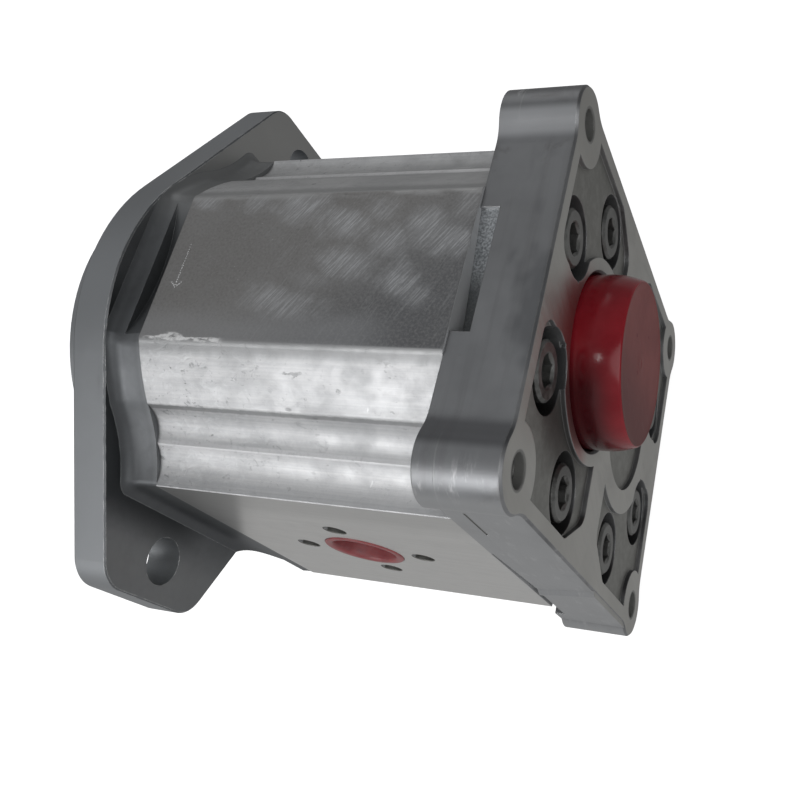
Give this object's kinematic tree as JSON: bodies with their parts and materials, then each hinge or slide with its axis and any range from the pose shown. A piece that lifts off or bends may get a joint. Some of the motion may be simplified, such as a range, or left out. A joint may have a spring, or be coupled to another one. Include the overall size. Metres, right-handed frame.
{
  "type": "hydraulic gear pump",
  "caption": "Hydraulic external gear pump with extruded body, two-ear mounting flange, splined drive shaft, flanged side ports and a rear cover prepared for a second pump.",
  "frame": {"origin": "centre of the mounting flange's front face, on the drive shaft axis", "axes": "+X from the mounting face along the drive shaft towards the rear cover, +Y towards the inlet port, +Z from the driven gear towards the drive gear"},
  "size_m": [0.1903, 0.171, 0.1539],
  "materials": {
    "body_metal": "satin",
    "flange_iron": "satin",
    "cover_metal": "satin",
    "gear_steel": "ground",
    "block_metal": "machined",
    "bush_metal": "satin",
    "seal_rubber": "matte",
    "backup_plastic": "matte",
    "pin_steel": "ground",
    "screw_steel": "dull oiled",
    "plug_plastic": "semi-gloss",
    "port_plug_plastic": "semi-gloss"
  },
  "bodies": {
    "housing": {"pump_body": "body_metal", "front_flange": "flange_iron", "rear_cover": "cover_metal", "front_bearing_block": "block_metal", "rear_bearing_block": "block_metal", "front_drive_bush": "bush_metal", "front_driven_bush": "bush_metal", "rear_drive_bush": "bush_metal", "rear_driven_bush": "bush_metal", "front_pressure_seal": "seal_rubber", "rear_pressure_seal": "seal_rubber", "front_backup_ring": "backup_plastic", "rear_backup_ring": "backup_plastic", "front_body_seal": "seal_rubber", "rear_body_seal": "seal_rubber", "shaft_seal_case": "pin_steel", "shaft_seal_lip": "seal_rubber", "seal_garter_spring": "pin_steel", "seal_snap_ring": "pin_steel", "front_dowel_pins": "pin_steel", "rear_dowel_pins": "pin_steel", "body_screws": "screw_steel", "screw_washers": "screw_steel"},
    "drive": {"drive_gear_shaft": "gear_steel", "rear_coupling_sleeve": "gear_steel"},
    "driven": {"driven_gear": "gear_steel"},
    "rear_plug": {"rear_pilot_plug": "plug_plastic"},
    "outlet_plug": {"outlet_port_plug": "port_plug_plastic"},
    "inlet_plug": {"inlet_port_plug": "port_plug_plastic"}
  },
  "joints": [
    {"name": "drive_spin", "type": "hinge", "parent": "housing", "child": "drive", "pos_m": [0, 0, 0], "axis": [1, 0, 0], "continuous": true},
    {"name": "driven_spin", "type": "hinge", "parent": "housing", "child": "driven", "pos_m": [0, 0, -0.042], "axis": [1, 0, 0], "continuous": true},
    {"name": "rear_plug_pull", "type": "slide", "parent": "housing", "child": "rear_plug", "axis": [1, 0, 0], "range_m": [0, 0.04]},
    {"name": "outlet_plug_pull", "type": "slide", "parent": "housing", "child": "outlet_plug", "axis": [0, -1, 0], "range_m": [0, 0.03]},
    {"name": "inlet_plug_pull", "type": "slide", "parent": "housing", "child": "inlet_plug", "axis": [0, 1, 0], "range_m": [0, 0.03]}
  ],
  "couplings": [
    {"joint": "driven_spin", "follows": "drive_spin", "ratio": -1}
  ]
}
